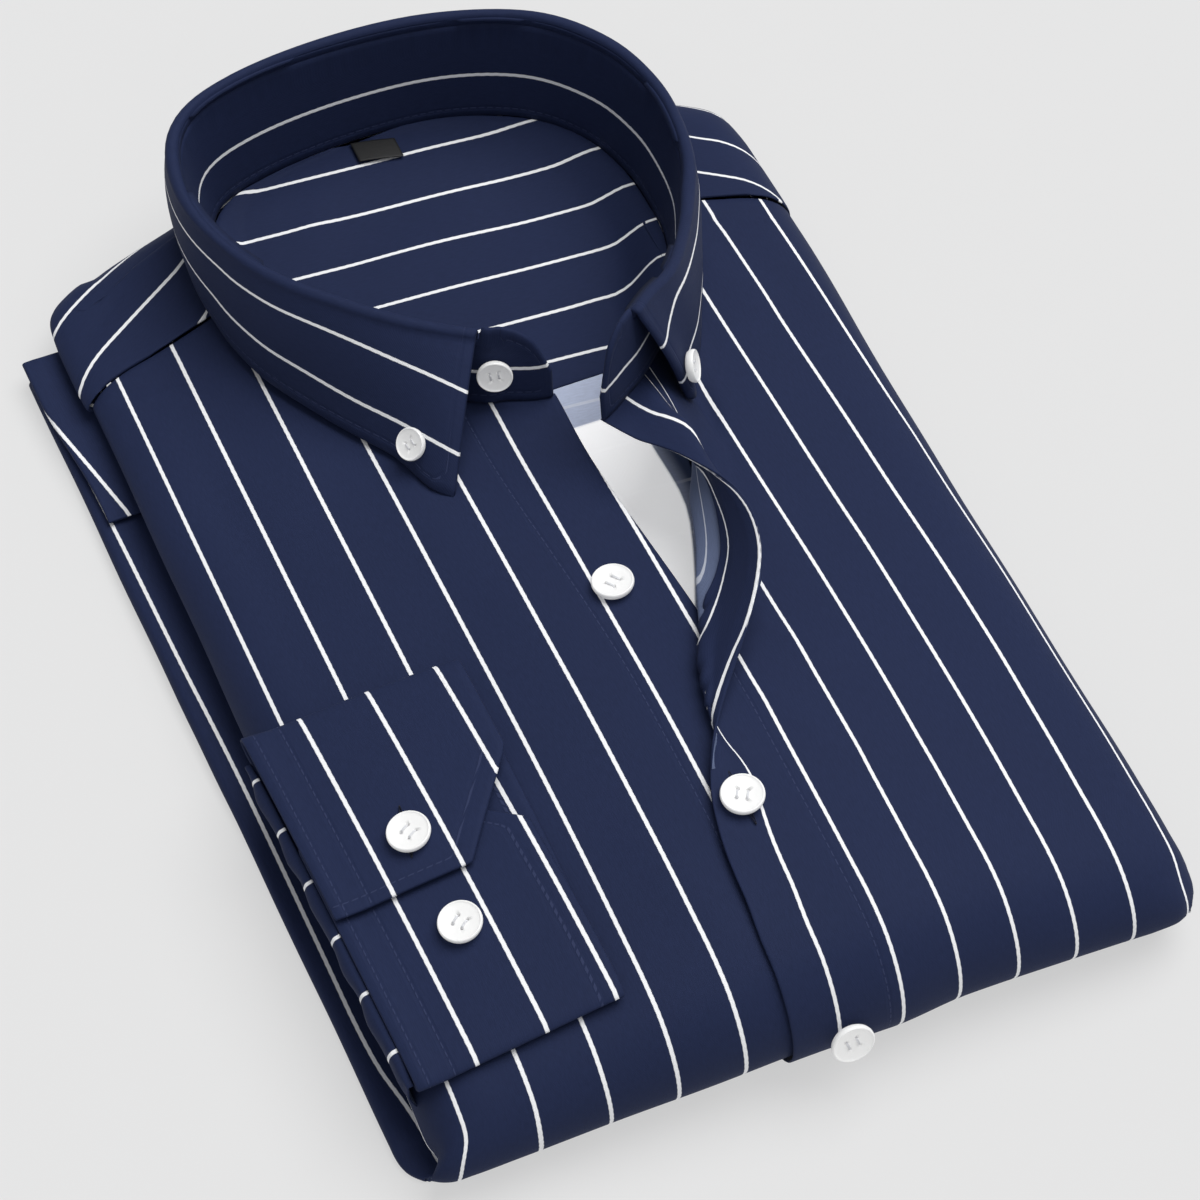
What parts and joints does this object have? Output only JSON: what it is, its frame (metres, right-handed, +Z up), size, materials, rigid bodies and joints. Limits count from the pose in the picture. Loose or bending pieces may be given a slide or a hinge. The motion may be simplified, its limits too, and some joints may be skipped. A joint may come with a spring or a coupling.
{
  "type": "folded striped dress shirt",
  "caption": "Long-sleeved button-down collar shirt folded flat, sleeve and cuff laid on the front, pinstriped cotton",
  "frame": {"origin": "on the surface it lies on, under the middle of the folded shirt", "axes": "+X towards the wearer's left side, +Y from the bottom fold towards the collar, +Z up out of the surface"},
  "size_m": [0.2358, 0.36, 0.0821],
  "materials": {
    "cloth": "satin",
    "cloth_inside": "matte",
    "label": "matte",
    "button": "gloss"
  },
  "bodies": {
    "root": {"folded_layers": "cloth", "front_button_side": "cloth", "front_buttonhole_side": "cloth", "placket_facing": "cloth", "yoke_outer": "cloth", "yoke_inner": "cloth", "collar_stand": "cloth", "collar_leaf": "cloth", "sleeve_folded": "cloth", "sleeve_head_fold": "cloth", "sleeve_end": "cloth", "cuff": "cloth", "back_inside": "cloth_inside", "size_label": "label", "front_button_1": "button", "front_button_2": "button", "front_button_3": "button", "collar_stand_button": "button", "collar_point_button_right": "button", "collar_point_button_left": "button", "cuff_button_1": "button", "cuff_button_2": "button"}
  },
  "joints": []
}
